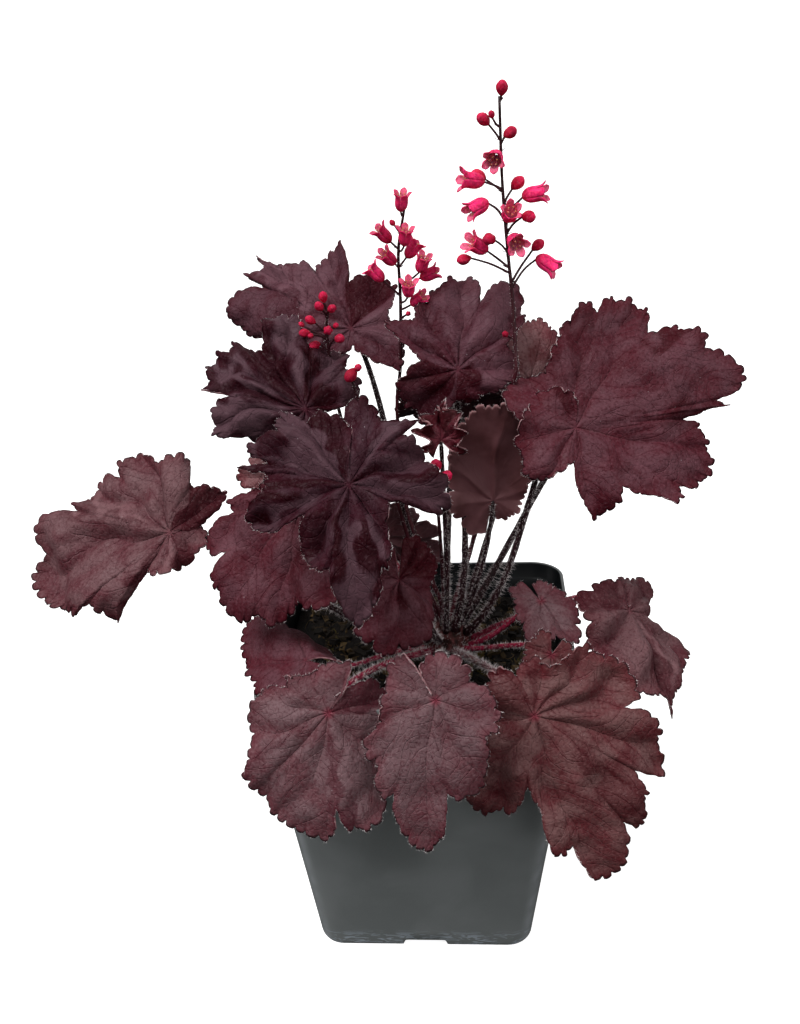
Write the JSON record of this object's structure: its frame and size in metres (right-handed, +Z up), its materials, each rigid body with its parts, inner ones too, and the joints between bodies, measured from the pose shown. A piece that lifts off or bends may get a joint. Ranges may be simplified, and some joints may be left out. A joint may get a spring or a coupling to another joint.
{
  "type": "heuchera plant in a square nursery pot",
  "caption": "Dark purple coral-bell plant with lobed ruffled leaves, hairy stalks and thin scapes of small red bells, rooted in a square tapered pot.",
  "frame": {"origin": "centre of the pot's underside, on its centre foot, at floor level", "axes": "+Z up, -Y towards the front of the pot where the lowest leaves hang over the rim, +X to the right seen from the front"},
  "size_m": [0.3034, 0.2042, 0.3621],
  "materials": {
    "pot": "satin dark green-grey moulded plastic",
    "soil": null,
    "crown": "rough dark rootstock",
    "leaf_upper": null,
    "leaf_lower": null,
    "scape": "maroon stalk with coral-crimson bells, matte"
  },
  "bodies": {
    "root": {"pot": "pot", "soil": "soil", "crown": "crown", "leaf_top_left": "leaf_upper", "leaf_left_upper": "leaf_upper", "leaf_front_dark": "leaf_upper", "leaf_left_mid": "leaf_upper", "leaf_far_left": "leaf_upper", "leaf_centre_top": "leaf_upper", "leaf_right_big": "leaf_upper", "leaf_behind_right": "leaf_upper", "leaf_centre_young": "leaf_upper", "leaf_centre_bud": "leaf_upper", "leaf_front_folded": "leaf_upper", "leaf_low_left": "leaf_lower", "leaf_bottom_left": "leaf_lower", "leaf_bottom_centre": "leaf_lower", "leaf_bottom_right": "leaf_lower", "leaf_right_small": "leaf_lower", "leaf_right_low": "leaf_lower", "leaf_right_under": "leaf_lower", "leaf_left_behind": "leaf_upper", "leaf_back_left": "leaf_upper", "leaf_back_right": "leaf_upper", "leaf_back_high": "leaf_upper", "leaf_back_low": "leaf_lower", "scape_tall": "scape", "scape_middle": "scape", "scape_left": "scape", "scape_single": "scape", "scape_short": "scape"}
  },
  "joints": []
}
